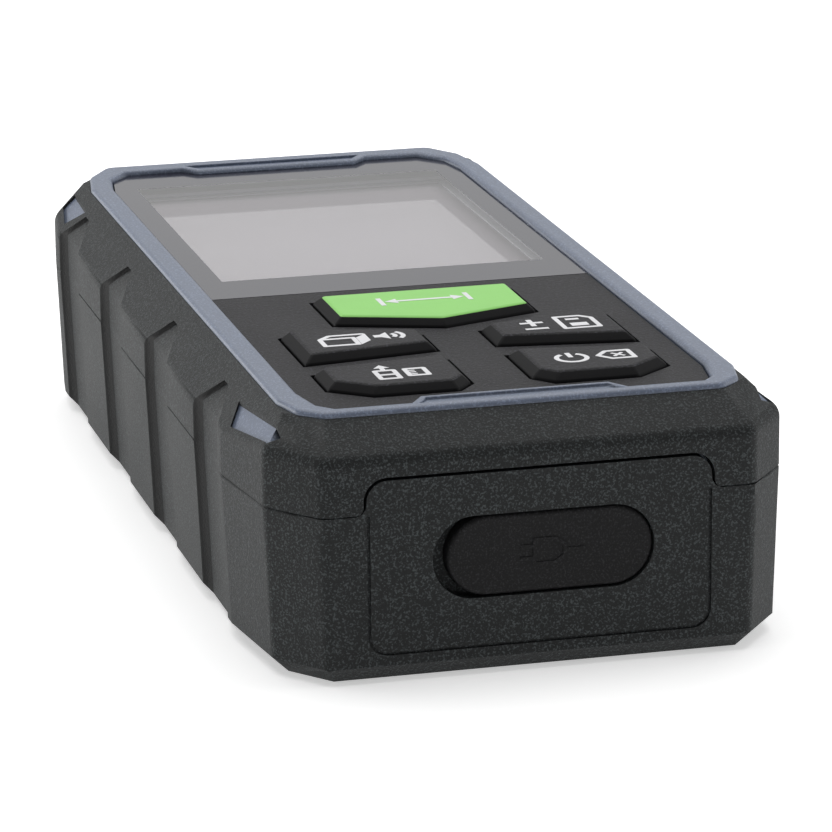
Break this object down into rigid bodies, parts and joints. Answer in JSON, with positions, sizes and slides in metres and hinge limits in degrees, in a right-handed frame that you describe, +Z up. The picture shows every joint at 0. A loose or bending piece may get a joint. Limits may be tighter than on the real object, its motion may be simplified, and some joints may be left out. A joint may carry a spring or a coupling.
{
  "type": "laser distance meter",
  "caption": "Pocket laser distance meter in a ribbed two-part case, with a raised slate frame round its display and keys, a rubber port cover and an optical end.",
  "frame": {"origin": "under the middle of the case, on the surface that it lies on", "axes": "+X to the right seen from the charging end with the face up, +Y from the charging end to the laser end, +Z up through the face"},
  "size_m": [0.0544, 0.119, 0.0259],
  "materials": {
    "shell_plastic": "fine moulded grain",
    "armour_rubber": "fine moulded grain",
    "frame_slate": "satin, fine grain",
    "port_rubber": "matt",
    "seal_rubber": "matt",
    "lens_clear": "polished, hard coated",
    "keypad_plastic": "grained",
    "key_dark": "grained, printed icons",
    "key_green": "satin, printed icon",
    "display_glass": "unlit liquid crystal display",
    "light_guide": "white",
    "flex_film": "amber film",
    "silicone": "translucent grey",
    "socket_steel": "plated",
    "circuit_board": "solder mask",
    "chip_plastic": "moulded",
    "cell_foil": "foil pouch",
    "chassis_plastic": "matt black",
    "optic_glass": "polished, coated",
    "barrel_brass": "turned",
    "can_steel": "plated",
    "front_gloss": "dark, polished",
    "screw_steel": "black plated",
    "label_film": "blank printed film"
  },
  "bodies": {
    "case": {"lower_shell": "shell_plastic", "top_armour": "armour_rubber", "top_frame": "frame_slate", "port_tether": "port_rubber", "case_seal": "seal_rubber", "lens_gasket": "seal_rubber", "battery_pad": "seal_rubber", "display_lens": "lens_clear", "keypad_plate": "keypad_plastic", "display_panel": "display_glass", "backlight": "light_guide", "display_holder": "light_guide", "display_flex": "flex_film", "key_mat": "silicone", "usb_socket": "socket_steel", "tact_switches": "socket_steel", "main_board": "circuit_board", "charge_board": "circuit_board", "receiver_board": "circuit_board", "board_chips": "chip_plastic", "buzzer": "chip_plastic", "battery_lead_socket": "chip_plastic", "battery": "cell_foil", "optics_chassis": "chassis_plastic", "lens_retainer": "chassis_plastic", "receiver_lens": "optic_glass", "collimator_lens": "optic_glass", "emitter_window": "optic_glass", "receiver_window": "optic_glass", "laser_barrel": "barrel_brass", "laser_diode": "can_steel", "light_sensor": "can_steel", "front_panel": "front_gloss", "case_screws": "screw_steel", "board_screws": "screw_steel", "chassis_screws": "screw_steel", "label_plate": "label_film"},
    "measure_key": {"measure_key": "key_green"},
    "memory_key": {"memory_key": "key_dark"},
    "volume_key": {"volume_key": "key_dark"},
    "power_key": {"power_key": "key_dark"},
    "unit_key": {"unit_key": "key_dark"},
    "port_cover": {"port_cover": "port_rubber"}
  },
  "joints": [
    {"name": "measure_key_press", "type": "slide", "parent": "case", "child": "measure_key", "axis": [0, 0, -1], "range_m": [0, 0.0006], "stiffness_N_per_m": 900},
    {"name": "memory_key_press", "type": "slide", "parent": "case", "child": "memory_key", "axis": [0, 0, -1], "range_m": [0, 0.0006], "stiffness_N_per_m": 900},
    {"name": "volume_key_press", "type": "slide", "parent": "case", "child": "volume_key", "axis": [0, 0, -1], "range_m": [0, 0.0006], "stiffness_N_per_m": 900},
    {"name": "power_key_press", "type": "slide", "parent": "case", "child": "power_key", "axis": [0, 0, -1], "range_m": [0, 0.0006], "stiffness_N_per_m": 900},
    {"name": "unit_key_press", "type": "slide", "parent": "case", "child": "unit_key", "axis": [0, 0, -1], "range_m": [0, 0.0006], "stiffness_N_per_m": 900},
    {"name": "port_cover_hinge", "type": "hinge", "parent": "case", "child": "port_cover", "pos_m": [0.01115, -0.0595, 0.01172], "axis": [0, 0, 1], "range_deg": [0, 110]}
  ]
}
